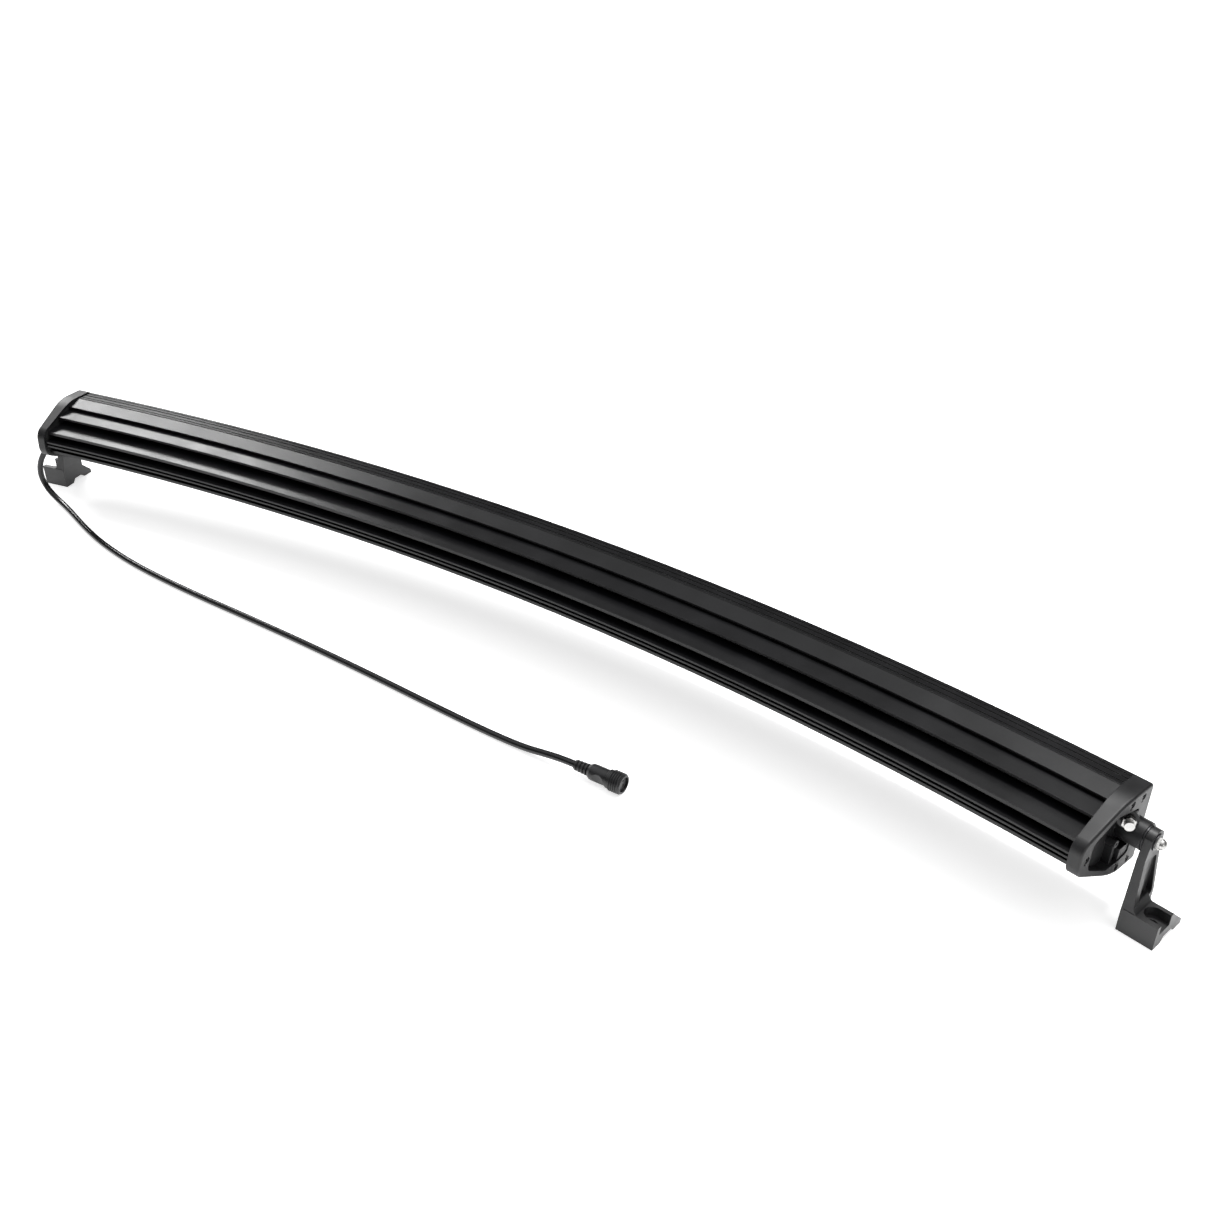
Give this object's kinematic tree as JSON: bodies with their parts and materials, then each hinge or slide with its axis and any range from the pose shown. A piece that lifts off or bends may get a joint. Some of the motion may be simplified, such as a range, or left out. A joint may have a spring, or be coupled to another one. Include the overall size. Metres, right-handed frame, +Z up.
{
  "type": "led light bar",
  "caption": "Curved two-row LED light bar with finned housing, cast end caps, tilting end brackets and a cord with a round connector.",
  "frame": {"origin": "bottom centre of the bar standing on its two bracket feet, level with the pivot axes front to back", "axes": "+X along the bar, +Z up, -Y the lens side, +Y the finned back"},
  "size_m": [1.427, 0.2176, 0.1227],
  "materials": {
    "housing_coat": "black fine-textured powder coat on extruded aluminium",
    "cast_coat": "satin black powder coat on die-cast aluminium",
    "lens": "clear polycarbonate",
    "seal_rubber": "soft silicone",
    "board": "white solder mask on aluminium board",
    "led": "yellow phosphor under a clear dome",
    "reflector": "metallised moulded cups",
    "black_steel": "black oxide",
    "bright_steel": "polished stainless",
    "cord_jacket": "glossy black jacket",
    "connector_plastic": "moulded black nylon",
    "contact": "plated brass",
    "lead_insulation": "thin PVC insulation"
  },
  "bodies": {
    "bar": {"cable_gland": "cord_jacket", "connector_body": "connector_plastic", "connector_collar": "connector_plastic", "connector_contacts": "contact", "connector_insert": "connector_plastic", "cord": "cord_jacket", "housing": "housing_coat", "led_board_1": "board", "led_board_2": "board", "led_board_3": "board", "led_board_4": "board", "led_board_5": "board", "leds_1": "led", "leds_2": "led", "leds_3": "led", "leds_4": "led", "leds_5": "led", "left_cap_gasket": "seal_rubber", "left_cap_screws": "black_steel", "left_dome_nut": "bright_steel", "left_end_cap": "cast_coat", "left_nut_washer": "bright_steel", "left_pivot_bolt": "bright_steel", "left_tooth_washer": "black_steel", "lens": "lens", "lens_seals": "seal_rubber", "power_leads": "lead_insulation", "reflector_1": "reflector", "reflector_2": "reflector", "reflector_3": "reflector", "reflector_4": "reflector", "reflector_5": "reflector", "right_cap_gasket": "seal_rubber", "right_cap_screws": "black_steel", "right_dome_nut": "bright_steel", "right_end_cap": "cast_coat", "right_nut_washer": "bright_steel", "right_pivot_bolt": "bright_steel", "right_tooth_washer": "black_steel", "strain_relief": "cord_jacket", "vent": "bright_steel", "vent_seal": "seal_rubber"},
    "left_bracket": {"left_bracket": "cast_coat"},
    "right_bracket": {"right_bracket": "cast_coat"}
  },
  "joints": [
    {"name": "left_bracket_tilt", "type": "hinge", "parent": "bar", "child": "left_bracket", "pos_m": [-0.67832, 0.00354, 0.084], "axis": [0.9767, -0.2144, 0], "range_deg": [-100, 100]},
    {"name": "right_bracket_tilt", "type": "hinge", "parent": "bar", "child": "right_bracket", "pos_m": [0.67832, 0.00354, 0.084], "axis": [0.9767, 0.2144, 0], "range_deg": [-100, 18]}
  ]
}
